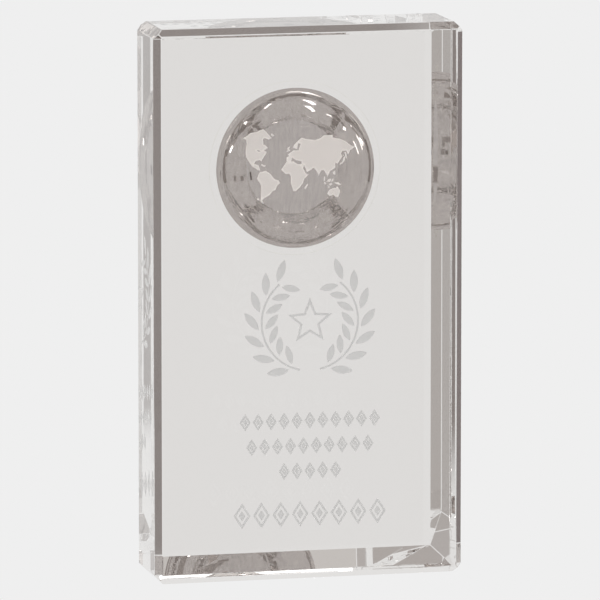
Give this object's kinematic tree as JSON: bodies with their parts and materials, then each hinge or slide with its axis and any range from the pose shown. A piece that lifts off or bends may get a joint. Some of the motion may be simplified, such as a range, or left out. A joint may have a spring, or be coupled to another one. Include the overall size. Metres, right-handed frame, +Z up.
{
  "type": "crystal award",
  "caption": "Upright bevelled crystal block award with a domed glass globe bowl cemented into its back and an engraved front.",
  "frame": {"origin": "middle of the bottom of the block's bounding box, on the surface that the award stands on", "axes": "+Z up, -Y towards the viewer of the engraved front, +X to that viewer's right"},
  "size_m": [0.119, 0.038, 0.21],
  "materials": {
    "block_crystal": "polished optical crystal, clear, front engraving sandblasted",
    "optical_cement": "clear cured optical cement, index matched, not visible",
    "globe_glass": "polished glass with a faint grey lustre, continents sandblasted white"
  },
  "bodies": {
    "root": {"crystal_block": "block_crystal", "cement_film": "optical_cement", "globe_bowl": "globe_glass"}
  },
  "joints": []
}
